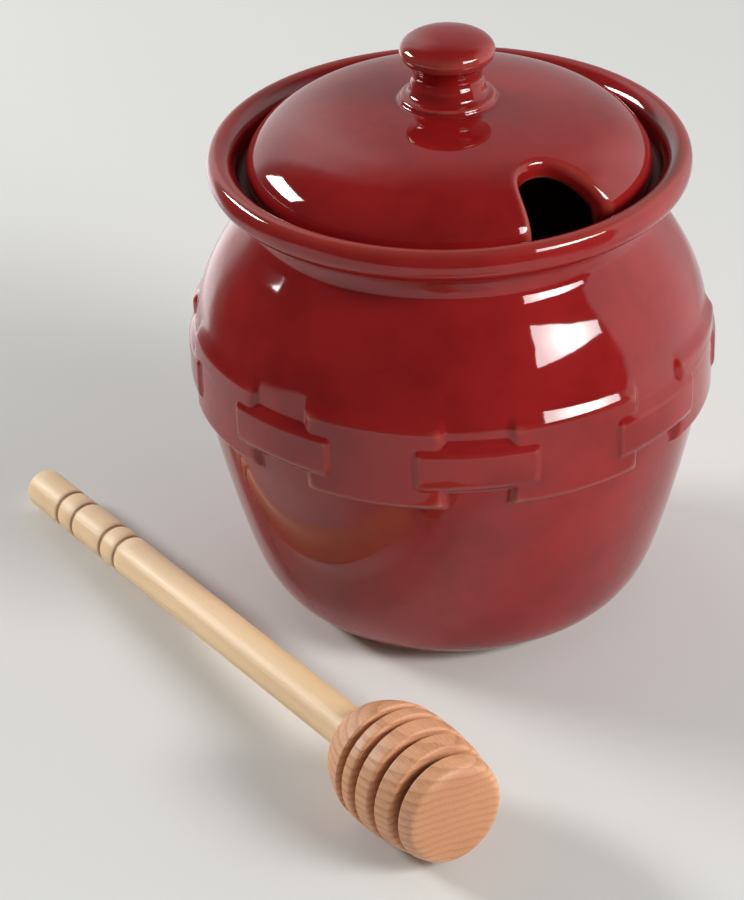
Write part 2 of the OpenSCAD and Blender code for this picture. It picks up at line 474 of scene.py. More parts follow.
def turned_wood_group() -> bpy.types.NodeTree:
    """Turned wood: layers of growth, fibres along the stick, pores, and dark rings of burn, which in cut
    grooves also carry painted shade.

    Returns:
        The group; it puts out Colour, Roughness and Height. Place is millimetres, with X along the stick.
    """
    ports = [
        Port("Place", "Vector"),
        Port("Pale", "Color"),
        Port("Dark", "Color"),
        Port("Burn And Shade Tint", "Color"),
        Port("Burn And Groove Shade"),
        Port("Ring Width", value=2.4),
        Port("Ring Depth", value=0.5),
        Port("Fibre Depth", value=0.35),
        Port("End Grain"),
    ]
    w, port, leave = new_group(
        "turned_wood", "ShaderNodeTree", ports, [Port("Colour", "Color"), Port("Roughness"), Port("Height")]
    )
    place = port["Place"]
    split = w.add("ShaderNodeSeparateXYZ", {0: place})
    slow = w.noise(w.stretched(place, (0.012, 0.07, 0.07)), 1.0, 2.0)
    # layers lie nearly flat, about a heart far below the stick
    far = w.math("ADD", split.outputs["Z"], 46.0)
    side = w.math("ADD", split.outputs["Y"], 7.0)
    span = w.math("SQRT", w.math("ADD", w.math("POWER", far, 2.0), w.math("POWER", side, 2.0)))
    layer = w.math("DIVIDE", w.math("MULTIPLY_ADD", slow, 3.5, span), port["Ring Width"])
    part = w.math("FRACT", layer)
    late = w.math("MULTIPLY", w.remap(part, 0.35, 0.93), w.remap(part, 1.0, 0.93))
    fibre = w.noise(w.stretched(place, (0.05, 2.6, 2.6)), 1.0, 4.0, 0.65)
    short = w.noise(w.stretched(place, (0.22, 5.5, 5.5)), 1.0, 2.0, 0.6)
    pore = w.noise(w.stretched(place, (3.5, 3.5, 3.5)), 1.0, 2.0, 0.6)
    streak = w.blend(port["End Grain"], fibre, pore)
    shade = w.math("MULTIPLY", late, port["Ring Depth"])
    shade = w.math("MULTIPLY_ADD", w.remap(streak, 0.42, 0.72), port["Fibre Depth"], shade)
    shade = w.math("MULTIPLY_ADD", w.remap(slow, 0.35, 0.7), 0.22, shade)
    shade = w.math("ADD", shade, w.math("MULTIPLY", w.remap(short, 0.58, 0.75), 0.16), clamp=True)
    tint = w.blend(shade, port["Pale"], port["Dark"])
    tint = w.blend(w.math("MULTIPLY", port["End Grain"], 0.60), tint, port["Dark"])
    # dark rings: real burn, and painted shade where the head's grooves are cut
    burn_and_shade = w.math("MULTIPLY", port["Burn And Groove Shade"], w.remap(short, 0.2, 0.62, 0.72, 1.0), clamp=True)
    w.feed(leave.inputs["Colour"], w.blend(burn_and_shade, tint, port["Burn And Shade Tint"]))
    w.feed(leave.inputs["Roughness"], w.math("MULTIPLY_ADD", shade, 0.16, 0.42))
    height = w.math("MULTIPLY_ADD", fibre, 0.5, w.math("MULTIPLY", short, 0.25))
    w.feed(leave.inputs["Height"], w.math("MULTIPLY_ADD", late, -0.2, height))
    return w.tree


@dataclass(frozen=True)
class GlazeFinish:
    """A gloss glaze on stoneware."""

    name: str
    body: Colour = (0.298, 0.0115, 0.0120)
    deep: Colour = (0.222, 0.0066, 0.0070)
    thin: Colour = (0.52, 0.150, 0.105)
    clay: Colour = (0.62, 0.55, 0.45)
    shine: float = 0.045
    thin_from: float = 0.08
    thin_to: float = 0.55
    waver: float = 0.05

    def build(self, effect: bpy.types.NodeTree) -> bpy.types.Material:
        """Makes the material.

        Args:
            effect: The fired glaze group.

        Returns:
            The material; it reads the attributes "crest", "bare" and "matt".
        """
        w, shader = new_material(self.name)
        place = w.add("ShaderNodeTexCoord").outputs["Object"]
        crest = w.add("ShaderNodeAttribute", attribute_name="crest").outputs["Fac"]
        bare = w.add("ShaderNodeAttribute", attribute_name="bare").outputs["Fac"]
        matt = w.add("ShaderNodeAttribute", attribute_name="matt").outputs["Fac"]
        inputs = {
            "Place": place,
            "Crest": crest,
            "Bare": bare,
            "Matt": matt,
            "Body": self.body,
            "Deep": self.deep,
            "Thin": self.thin,
            "Clay": self.clay,
            "Thin From": self.thin_from,
            "Thin To": self.thin_to,
            "Shine": self.shine,
        }
        glaze = w.add("ShaderNodeGroup", node_tree=effect)
        for key, value in inputs.items():
            w.feed(glaze.inputs[key], value)
        bump = w.add(
            "ShaderNodeBump",
            {"Height": glaze.outputs["Height"], "Strength": self.waver, "Distance": GLAZE_DEPTH},
        )
        w.feed(shader.inputs["Base Color"], glaze.outputs["Colour"])
        w.feed(shader.inputs["Roughness"], glaze.outputs["Roughness"])
        w.feed(shader.inputs["Normal"], bump.outputs[0])
        shader.inputs["IOR"].default_value = 1.52
        return bpy.data.materials[self.name]


@dataclass(frozen=True)
class WoodFinish:
    """A turned wood, lightly sanded and bare."""

    name: str
    pale: Colour
    dark: Colour
    burn: Colour
    ring_width: float
    ring_depth: float
    fibre_depth: float
    grain: float = 0.25

    def build(self, effect: bpy.types.NodeTree, stick: Matrix) -> bpy.types.Material:
        """Makes the material.

        Args:
            effect: The turned wood group.
            stick: Place and turn of the stick, with X along it.

        Returns:
            The material; it reads the attributes "burned" (burn, and painted shade in cut grooves) and
            "end_grain".
        """
        w, shader = new_material(self.name)
        place = w.add(
            "ShaderNodeMapping",
            {
                "Vector": w.add("ShaderNodeTexCoord").outputs["Object"],
                "Location": tuple(stick.translation),
                "Rotation": tuple(stick.to_euler("XYZ")),
                "Scale": (MM, MM, MM),
            },
            vector_type="TEXTURE",
        )
        wood = w.add("ShaderNodeGroup", node_tree=effect)
        inputs = {
            "Place": place.outputs[0],
            "Pale": self.pale,
            "Dark": self.dark,
            "Burn And Shade Tint": self.burn,
            "Burn And Groove Shade": w.add("ShaderNodeAttribute", attribute_name="burned").outputs["Fac"],
            "Ring Width": self.ring_width,
            "Ring Depth": self.ring_depth,
            "Fibre Depth": self.fibre_depth,
            "End Grain": w.add("ShaderNodeAttribute", attribute_name="end_grain").outputs["Fac"],
        }
        for key, value in inputs.items():
            w.feed(wood.inputs[key], value)
        bump = w.add(
            "ShaderNodeBump",
            {"Height": wood.outputs["Height"], "Strength": self.grain, "Distance": GRAIN_DEPTH},
        )
        w.feed(shader.inputs["Base Color"], wood.outputs["Colour"])
        w.feed(shader.inputs["Roughness"], wood.outputs["Roughness"])
        w.feed(shader.inputs["Normal"], bump.outputs[0])
        return bpy.data.materials[self.name]


# ---- the pot ------------------------------------------------------------------------------------


@dataclass(frozen=True)
class Strand:
    """One kind of strip in the woven band, repeated round the pot."""

    turn: float
    span: float
    low: float
    high: float
    reach: float
    lean: float = 34.0
    edge: float = 1.0
    corner: float = 0.8


@dataclass
class WovenBand:
    """The raised basket weave round the belly, made by Geometry Nodes on the turned wall."""

    units: int = 8
    stake_turn: float = 27.5
    wall_beyond: float = 53.0
    strands: tuple[Strand, ...] = (
        Strand(0.0, 20.4, 55.9, 68.0, 58.15, lean=50.0, edge=1.5, corner=0.3),
        Strand(0.0, 32.4, 64.6, 70.8, 58.15, edge=2.4),
        Strand(0.0, 32.0, 51.6, 57.5, 58.15, lean=50.0, edge=1.8),
        Strand(22.5, 29.2, 56.0, 65.7, 58.80, edge=2.4, corner=1.4),
    )

    def strand_group(self) -> bpy.types.NodeTree:
        """The group that gives one kind of strand's height above the wall, with rounded corners."""
        names = (
            "Angle", "Height", "Radius", "Period", "Turn", "Span",
            "Low", "High", "Reach", "Lean", "Edge", "Corner",
        )
        w, port, leave = new_group(
            "strand_relief", "GeometryNodeTree", [Port(name) for name in names], [Port("Relief")]
        )
        half_period = w.math("MULTIPLY", port["Period"], 0.5)
        turned_by = w.math("SUBTRACT", port["Angle"], port["Turn"])
        off = w.math("WRAP", turned_by, half_period, w.math("MULTIPLY", half_period, -1.0))
        inside = w.math("SUBTRACT", w.math("MULTIPLY", port["Span"], 0.5), w.math("ABSOLUTE", off))
        inside = w.math("MULTIPLY", inside, w.math("MULTIPLY", port["Radius"], math.radians(1.0)))
        above = w.math("SUBTRACT", port["Height"], port["Low"])
        inside = w.math("SMOOTH_MIN", inside, above, port["Corner"])
        side = w.remap(inside, -0.25, port["Edge"])
        # the upper side leans back until it meets the wall
        past = w.math("SUBTRACT", port["Height"], port["High"])
        back = w.math("SMOOTH_MAX", w.math("MULTIPLY", past, port["Lean"]), 0.0, 0.5)
        rise = w.math("SUBTRACT", w.math("SUBTRACT", port["Reach"], port["Radius"]), back)
        rise = w.math("SMOOTH_MAX", rise, 0.0, 0.35)
        w.feed(leave.inputs["Relief"], w.math("MULTIPLY", side, rise))
        return w.tree

    def tree(self) -> bpy.types.NodeTree:
        """The modifier's tree: it pushes the wall out where a strand passes and stores the relief."""
        inputs = [
            Port("Geometry", "Geometry"),
            Port("Units", value=8.0),
            Port("Stake Turn", value=27.5),
            Port("Wall Beyond", value=53.0),
            Port("Strand Scale", value=1.0),
            Port("Glaze", "Material"),
        ]
        w, port, leave = new_group("woven_band", "GeometryNodeTree", inputs, [Port("Geometry", "Geometry")])
        one = self.strand_group()
        split = w.add("ShaderNodeSeparateXYZ", {0: w.add("GeometryNodeInputPosition").outputs[0]})
        x, y = split.outputs["X"], split.outputs["Y"]
        angle = w.math("MULTIPLY", w.math("ARCTAN2", x, w.math("MULTIPLY", y, -1.0)), math.degrees(1.0))
        metres = w.math("SQRT", w.math("ADD", w.math("MULTIPLY", x, x), w.math("MULTIPLY", y, y)))
        radius = w.math("DIVIDE", metres, MM)
        height = w.math("DIVIDE", split.outputs["Z"], MM)
        shared = {
            "Angle": w.math("SUBTRACT", angle, port["Stake Turn"]),
            "Height": height,
            "Radius": radius,
            "Period": w.math("DIVIDE", 360.0, port["Units"]),
        }
        relief: Socket | float = 0.0
        for strand in self.strands:
            node = w.add("GeometryNodeGroup", node_tree=one)
            own = {
                "Turn": strand.turn,
                "Span": strand.span,
                "Low": strand.low,
                "High": strand.high,
                "Reach": strand.reach,
                "Lean": math.tan(math.radians(strand.lean)),
                "Edge": strand.edge,
                "Corner": strand.corner,
            }
            for key, value in {**shared, **own}.items():
                w.feed(node.inputs[key], value)
            relief = w.math("SMOOTH_MAX", relief, node.outputs[0], 0.25)
        relief = w.math("MULTIPLY", relief, port["Strand Scale"])
        on_wall = w.math("GREATER_THAN", radius, port["Wall Beyond"])
        relief = w.math("MULTIPLY", relief, w.math("MULTIPLY", on_wall, w.math("GREATER_THAN", height, 49.0)))
        push = w.math("DIVIDE", relief, radius)
        offset = w.add(
            "ShaderNodeCombineXYZ", {"X": w.math("MULTIPLY", x, push), "Y": w.math("MULTIPLY", y, push)}
        )
        moved = w.add("GeometryNodeSetPosition", {"Geometry": port["Geometry"], "Offset": offset.outputs[0]})
        stored = w.add(
            "GeometryNodeStoreNamedAttribute",
            {"Geometry": moved.outputs[0], "Name": "relief", "Value": relief},
            data_type="FLOAT",
            domain="POINT",
        )
        real = w.add("GeometryNodeRealizeInstances", {"Geometry": stored.outputs[0]})
        dressed = w.add("GeometryNodeSetMaterial", {"Geometry": real.outputs[0], "Material": port["Glaze"]})
        w.feed(leave.inputs["Geometry"], dressed.outputs[0])
        return w.tree

    def raise_on(self, wall: bpy.types.Object, glaze: bpy.types.Material) -> bpy.types.Object:
        """Raises the weave on a turned wall.

        Args:
            wall: The wall.
            glaze: Its material.

        Returns:
            The same object as a plain mesh.
        """
        tree = self.tree()
        ident = {item.name: item.identifier for item in tree.interface.items_tree if item.in_out == "INPUT"}
        modifier = wall.modifiers.new("woven band", "NODES")
        modifier.node_group = tree
        modifier[ident["Units"]] = float(self.units)
        modifier[ident["Stake Turn"]] = self.stake_turn
        modifier[ident["Wall Beyond"]] = self.wall_beyond
        modifier[ident["Strand Scale"]] = 1.0
        modifier[ident["Glaze"]] = glaze
        return baked(wall)

    def columns(self) -> np.ndarray:
        """Angles of the wall's columns in radians, closer together where strands end."""
        period = 360.0 / self.units
        ends = sorted(
            {(s.turn + side * s.span / 2) % period for s in self.strands for side in (-1, 1)}
        )
        fine = np.arange(0.0, period, 0.1)
        near = np.min([np.abs((fine - e + period / 2) % period - period / 2) for e in ends], axis=0)
        density = np.where(near < 2.1, 1 / 0.44, 1 / 1.3)
        total = np.concatenate([[0.0], np.cumsum(density) * 0.1])
        count = math.ceil(total[-1])
        at = np.interp(np.arange(count) * total[-1] / count, total, np.append(fine, period))
        whole = (at[None, :] + np.arange(self.units)[:, None] * period).ravel() + self.stake_turn
        return np.radians(whole)


@dataclass
class Pot:
    """The thrown pot: foot, belly, neck, rolled rim, gallery for the lid, and the hollow inside."""

    foot_r: float = 34.1
    low_wall_r: float = 47.4
    low_wall_z: float = 16.3
    belly_r: float = 57.3
    belly_z: float = 63.0
    neck_r: float = 43.7
    neck_z: float = 97.5
    wall: float = 4.5
    base: float = 6.0
    foot_w: float = 3.9
    foot_recess: float = 1.8
    roll_r: float = 48.4
    roll_z: float = 106.65
    roll_tube: float = 4.4
    gallery_r: float = 46.5
    ledge_z: float = 102.9
    mouth_r: float = 39.8
    band: WovenBand = field(default_factory=WovenBand)

    def outline(self) -> np.ndarray:
        """The outline from the middle of the underside, up the outside and down the inside."""
        floor_z = self.foot_recess + self.base
        foot_in = self.foot_r - self.foot_w
        in_neck, in_belly, in_low = (r - self.wall for r in (self.neck_r, self.belly_r, self.low_wall_r))
        low_z, belly_z, neck_z = self.low_wall_z, self.belly_z, self.neck_z
        straight = [
            [0, self.foot_recess],
            [foot_in - 0.8, self.foot_recess],
            [foot_in, 0],
            [self.foot_r - 0.6, 0],
        ]
        rim_r, rim_z = self.roll_r + self.roll_tube, self.roll_z
        over = [[rim_r, rim_z], [rim_r, rim_z + 4.65], [self.gallery_r + 2.1, rim_z + 4.55],
                [self.gallery_r + 0.1, rim_z]]
        ledge = [
            [self.gallery_r, self.ledge_z + 0.8],
            [self.gallery_r - 0.8, self.ledge_z],
            [self.mouth_r + 0.7, self.ledge_z],
            [self.mouth_r, self.ledge_z - 0.7],
            [self.mouth_r, neck_z + 2],
        ]
        curves = [
            [
                [self.foot_r, 0.6], [self.foot_r + 5.9, 3.1],
                [self.low_wall_r - 3.6, 4.6], [self.low_wall_r, low_z],
            ],
            [[self.low_wall_r, low_z], [self.low_wall_r + 4.5, low_z + 14.5], [self.belly_r, belly_z - 8],
             [self.belly_r, belly_z]],
            [[self.belly_r, belly_z], [self.belly_r, belly_z + 17.0], [self.neck_r + 5.78, neck_z - 9.2],
             [self.neck_r + 2.2, neck_z - 4.7]],
            [[self.neck_r + 2.2, neck_z - 4.7], [self.neck_r + 1.5, neck_z - 3.8],
             [self.neck_r + 0.8, neck_z - 3.1], [self.neck_r + 0.6, neck_z - 2.1]],
            [[self.neck_r + 0.6, neck_z - 2.1], [self.neck_r + 0.5, neck_z - 0.5],
             [self.neck_r + 1.2, neck_z + 2.2], [self.roll_r - 1.86, self.roll_z - 3.99]],
        ]
        inside = [
            [[in_neck, neck_z], [in_neck, neck_z - 4.6], [in_belly, belly_z + 22.7], [in_belly, belly_z]],
            [[in_belly, belly_z], [in_belly, belly_z - 8], [in_low + 4.5, low_z + 15.5], [in_low, low_z + 1]],
            [[in_low, low_z + 1], [in_low - 2.2, floor_z + 2], [in_low - 9, floor_z], [in_low - 17, floor_z]],
        ]
        return np.concatenate(
            [
                straight,
                *[bezier(c) for c in curves],
                arc((self.roll_r, self.roll_z), self.roll_tube, -115, 0, 40),
                bezier(over),
                ledge,
                *[bezier(c) for c in inside],
                [[0, floor_z]],
            ]
        )

    def spacing(self, point: np.ndarray) -> float:
        """Greatest distance between rings at a point of the outline."""
        radius, height = point
        if radius > self.band.wall_beyond and 50.5 < height < 78.0:
            return 0.42 if 64.0 < height < 72.5 or height < 58.0 else 0.9
        return 3.0 if radius > self.neck_r else 6.0

    def build(self, glaze: bpy.types.Material) -> bpy.types.Object:
        """Makes the pot.

        Args:
            glaze: Its material.

        Returns:
            The pot, riding on its body.
        """
        line = thinned(softened(self.outline(), 0.32), 10.0, self.spacing)
        line[0, 0] = line[-1, 0] = 0.0
        made = turned("stoneware_pot", line, self.band.columns())
        made = self.band.raise_on(made, glaze)
        store_crest(made.data)
        place = points_of(made.data)
        radius = np.hypot(place[:, 0], place[:, 1])
        low = np.clip((1.9 - place[:, 2]) / 1.0, 0, 1)
        put_value(made.data, "bare", low * (radius > self.foot_r - self.foot_w - 1.5))
        seat = (np.abs(place[:, 2] - self.ledge_z) < 1.3) & (radius < self.gallery_r + 0.4)
        put_value(made.data, "matt", seat.astype(float))
        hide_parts(Piece.POT.value)
        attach(made, Body.POT.value)
        return made


# ---- the lid ------------------------------------------------------------------------------------


@dataclass
class Lid:
    """The domed lid with its knob and the notch for the dipper, hollow underneath."""

    radius: float = 44.2
    edge_z: float = 106.0
    rest_z: float = 103.0
    brow_r: float = 42.6
    brow_z: float = 110.4
    crown_z: float = 120.8
    wall: float = 4.5
    notch_turn: float = 35.0
    notch_end: float = 31.5
    notch_round: float = 1.5
    collar_r: float = 10.5
    knob_r: float = 10.35
    waist_r: float = 7.4
    waist_z: float = 126.2
    cap_edge_z: float = 132.0
    top_z: float = 136.4
    voxel: float = 0.6

    def outline(self) -> np.ndarray:
        """The outline of the lid from the middle of its underside, out, over the top to the middle."""
        crown_z, brow_r, brow_z, waist = self.crown_z, self.brow_r, self.brow_z, self.waist_r
        bead, bead_z, under_z = 1.0, self.crown_z + 0.4, self.crown_z - self.wall
        crown = bezier([[brow_r, brow_z], [34.5, crown_z], [16, crown_z], [0, crown_z]], 80)
        side = [[self.radius, self.edge_z], [self.radius, self.edge_z + 2], [brow_r + 1.1, brow_z - 1.4],
                [brow_r, brow_z]]
        under = [[0, under_z], [16, under_z], [32.4, under_z], [brow_r - 3.5, brow_z - 2.8]]
        in_side = [[brow_r - 3.5, brow_z - 2.8], [brow_r - 2.9, brow_z - 3.6],
                   [self.radius - 4.4, self.edge_z], [self.radius - 4.4, self.edge_z - 1]]
        collar = [[self.collar_r - 1.1, bead_z + 1], [waist + 1.1, bead_z + 1.2], [waist + 0.7, bead_z + 2.2],
                  [waist + 0.65, bead_z + 3.9]]
        bowl = [[waist, self.waist_z], [waist, self.waist_z + 2.4],
                [self.knob_r - 1.4, self.cap_edge_z - 2.4],
                [self.knob_r - 0.35, self.cap_edge_z - 1.4]]
        cap = [[self.knob_r, self.cap_edge_z], [self.knob_r, self.cap_edge_z + 2.5],
               [self.knob_r - 4.6, self.top_z], [0, self.top_z]]
        return np.concatenate(
            [
                bezier(under, 60),
                bezier(in_side),
                [[self.radius - 4, self.rest_z], [self.radius - 0.9, self.rest_z],
                 [self.radius - 0.2, self.rest_z + 0.4]],
                bezier(side),
                crown[crown[:, 0] > self.collar_r],
                arc((self.collar_r - bead, bead_z), bead, -20, 90, 20),
                bezier(collar),
                [[waist + 0.15, bead_z + 4.3]],
                bezier(bowl),
                bezier(cap),
            ]
        )

    def notch_plan(self, beyond: float = 56.0) -> np.ndarray:
        """The notch seen from above, open at the lid's edge: distance out along it, and across it.

        Args:
            beyond: How far out the open end goes.

        Returns:
            The closed outline; its two sides differ, as if cut by hand.
        """
        deep, edge = self.notch_end, self.radius - 0.3
        one = bezier([[edge, -9.9], [edge - 3.4, -6.9], [deep, -9.2], [deep, -0.9]])
        other = bezier([[deep, -0.9], [deep, 5.2], [edge - 5.7, 6.2], [edge, 12.2]])
        out = [[self.radius + 1.5, 15.0], [beyond, 17.0], [beyond, -15.0], [self.radius + 1.5, -13.0]]
        line = np.concatenate([one, other[1:], out])
        return np.concatenate([line, line[:1]])

    def blank(self, line: np.ndarray) -> bpy.types.Object:
        """The lid as an even mesh of small faces, with the notch cut out.

        Args:
            line: The outline.

        Returns:
            The object.
        """
        columns = np.radians(np.arange(0, 360, 1.5))
        made = turned("stoneware_lid", thinned(line, 8.0, lambda _: 2.0), columns)
        a = math.radians(self.notch_turn)
        plan = self.notch_plan()[:-1]
        out = np.array([math.sin(a), -math.cos(a)])
        side = np.array([math.cos(a), math.sin(a)])
        flat = plan[:, :1] * out + plan[:, 1:] * side
        count = len(flat)
        verts = np.concatenate([np.c_[flat, np.full(count, 100.0)], np.c_[flat, np.full(count, 120.0)]]) * MM
        faces = [tuple(range(count))[::-1], tuple(range(count, 2 * count))]
        faces += [(i, (i + 1) % count, (i + 1) % count + count, i + count) for i in range(count)]
        cutter = new_object("notch_cutter", verts, faces)
        turn_out(cutter.data)
        cut = made.modifiers.new("notch", "BOOLEAN")
        cut.operation, cut.object, cut.solver = "DIFFERENCE", cutter, "EXACT"
        even = made.modifiers.new("even", "REMESH")
        even.mode, even.voxel_size = "VOXEL", self.voxel * MM
        made = baked(made)
        bpy.data.objects.remove(cutter)
        return made

    def surface(self, line: np.ndarray) -> Callable[[np.ndarray], np.ndarray]:
        """A function that gives how far a point is outside the finished lid.

        Args:
            line: The outline, closed along the axis.

        Returns:
            The function; the notch's edges are rounded in it.
        """
        shape = ClosedOutline(np.concatenate([line, line[:1]]))
        opening = ClosedOutline(self.notch_plan())
        a = math.radians(self.notch_turn)
        r = self.notch_round

        def outside(place: np.ndarray) -> np.ndarray:
            """Distance outside the notched lid, below zero inside it.

            Args:
                place: Points to measure.

            Returns:
                One distance per point.
            """
            x, y = place[:, 0], place[:, 1]
            dome = shape.distance(np.stack([np.hypot(x, y), place[:, 2]], 1))
            out, across = x * math.sin(a) - y * math.cos(a), x * math.cos(a) + y * math.sin(a)
            notch = np.full(len(place), -10.0)
            near = (out > self.notch_end - 5) & (np.abs(across) < 20)
            notch[near] = -opening.distance(np.stack([out[near], across[near]], 1))
            both = np.hypot(np.maximum(dome + r, 0), np.maximum(notch + r, 0))
            return np.minimum(-r, np.maximum(dome, notch)) + both

        return outside

    def settle(self, mesh: bpy.types.Mesh, line: np.ndarray) -> None:
        """Moves every point of the blank onto the finished surface and evens the mesh out.

        Args:
            mesh: The blank's mesh.
            line: The outline.
        """
        outside = self.surface(line)
        place, pair = points_of(mesh), edges_of(mesh)
        a, b = pair.T
        count = np.bincount(pair.ravel(), minlength=len(place))[:, None]
        step = 0.02
        for round_ in range(6):
            if round_ < 3:
                total = np.stack([np.bincount(a, place[b, k], len(place))
                                  + np.bincount(b, place[a, k], len(place))
                                  for k in range(3)], 1)
                place = 0.5 * place + 0.5 * total / count
            for _ in range(2 if round_ < 5 else 3):
                here = outside(place)
                slope = np.stack([outside(place + np.eye(3)[k] * step) - here for k in range(3)], 1) / step
                size = np.maximum((slope**2).sum(1), 0.25)
                place = place - (here / size)[:, None] * slope
        put_points(mesh, place)

    def build(self, glaze: bpy.types.Material) -> bpy.types.Object:
        """Makes the lid.

        Args:
            glaze: Its material.

        Returns:
            The lid, riding on its body.
        """
        line = softened(self.outline(), 0.25)
        line[0, 0] = line[-1, 0] = 0.0
        made = self.blank(line)
        self.settle(made.data, thinned(line, 4.0, lambda _: 0.8))
        made.data.shade_smooth()
        made.data.materials.clear()
        made.data.materials.append(glaze)
        store_crest(made.data)
        put_value(made.data, "bare", np.zeros(len(made.data.vertices)))
        put_value(made.data, "matt", (points_of(made.data)[:, 2] < self.edge_z - 1.5).astype(float))
        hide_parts(Piece.LID.value)
        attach(made, Body.LID.value)
        return made


class ClosedOutline:
    """A closed line in the radius-height plane, which tells how far a point lies outside it."""

    def __init__(self, line: np.ndarray) -> None:
        """Keeps the line's stretches; the last point repeats the first."""
        self.start, self.run = line[:-1], np.diff(line, axis=0)
        self.size = np.maximum((self.run**2).sum(1), 1e-12)

    def distance(self, place: np.ndarray, block: int = 4000) -> np.ndarray:
        """Distance outside the outline, below zero inside it.

        Args:
            place: Points (radius, height).
            block: How many points are measured at a time.

        Returns:
            One distance per point.
        """
        found = np.empty(len(place))
        sx, sy = self.start.T
        rx, ry = self.run.T
        for i in range(0, len(place), block):
            px, py = place[i : i + block, 0:1], place[i : i + block, 1:2]
            dx, dy = px - sx, py - sy
            t = np.clip((dx * rx + dy * ry) / self.size, 0, 1)
            near = np.sqrt(((dx - t * rx) ** 2 + (dy - t * ry) ** 2).min(1))
            spans = (sy <= py) != (sy + ry <= py)
            with np.errstate(divide="ignore", invalid="ignore"):
                crossing = sx + (py - sy) / ry * rx
            inside = (spans & (crossing > px)).sum(1) % 2 == 1
            found[i : i + block] = np.where(inside, -near, near)
        return found


def turn_out(mesh: bpy.types.Mesh) -> None:
    """Turns a closed mesh's faces outwards."""
    work = bmesh.new()
    work.from_mesh(mesh)
    bmesh.ops.recalc_face_normals(work, faces=work.faces)
    work.to_mesh(mesh)
    work.free()


# ---- the dipper ---------------------------------------------------------------------------------


